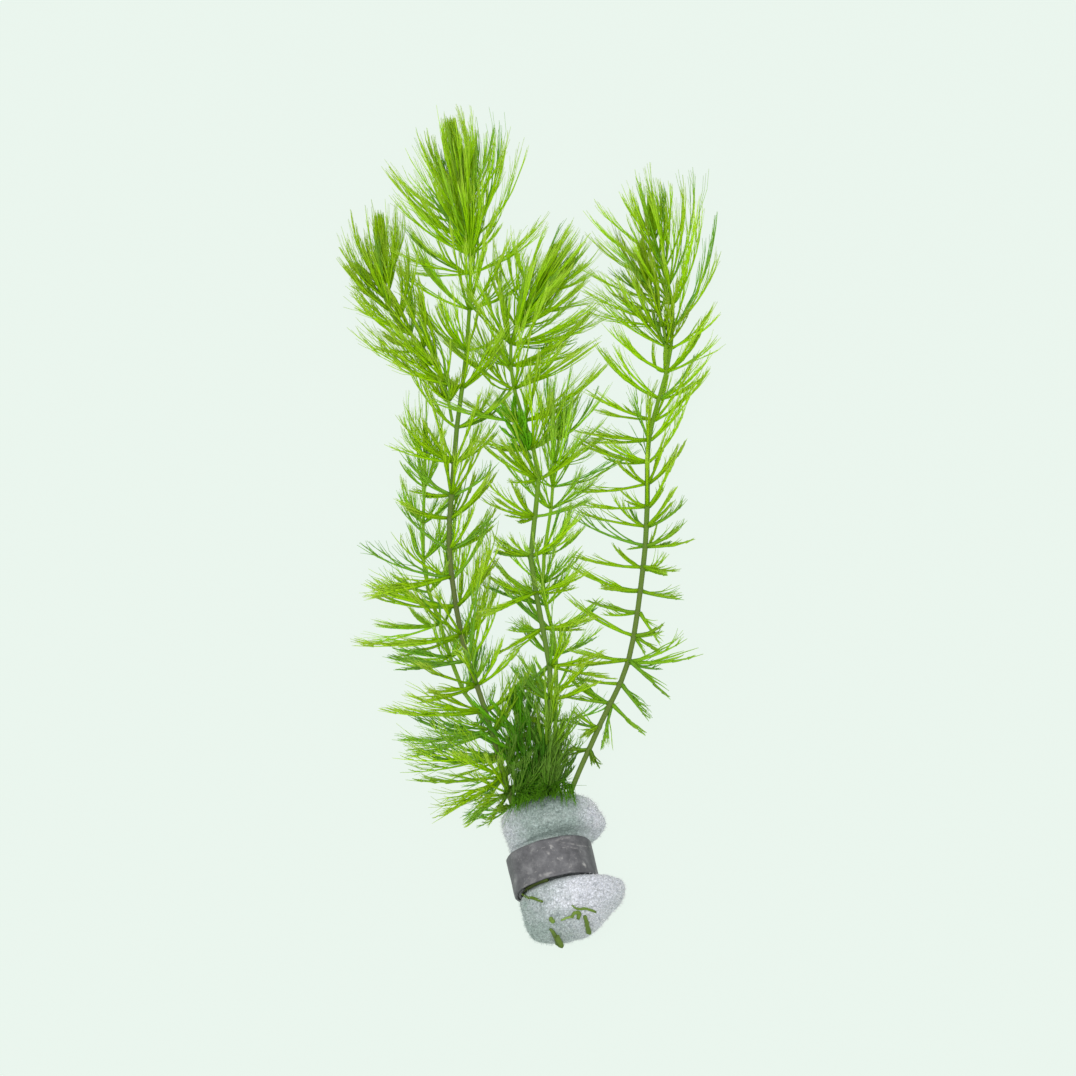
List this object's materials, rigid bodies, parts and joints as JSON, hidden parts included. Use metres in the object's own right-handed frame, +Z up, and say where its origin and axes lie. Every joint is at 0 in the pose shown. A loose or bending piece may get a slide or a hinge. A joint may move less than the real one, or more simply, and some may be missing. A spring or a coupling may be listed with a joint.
{
  "type": "hornwort bunch",
  "caption": "Lying bunch of cut hornwort stems with whorls of finely forked leaves, held at the base by a foam roll and a soft metal strip.",
  "frame": {"origin": "on the surface that the bunch lies on, under the middle of the lead strip", "axes": "+Y towards the growing tips, +Z up from the surface, +X to the right seen from above with the tips away"},
  "size_m": [0.1006, 0.2336, 0.0327],
  "materials": {
    "bright_leaf": "satin",
    "pale_leaf": "satin",
    "deep_leaf": "satin",
    "foam": "matte",
    "lead": "matte"
  },
  "bodies": {
    "root": {"left_stem": "bright_leaf", "left_shoot": "bright_leaf", "left_back_stem": "pale_leaf", "middle_stem": "bright_leaf", "middle_shoot": "deep_leaf", "middle_back_stem": "pale_leaf", "right_stem": "bright_leaf", "right_shoot": "bright_leaf", "short_stem": "deep_leaf", "foam_wrap": "foam", "lead_strip": "lead"}
  },
  "joints": []
}
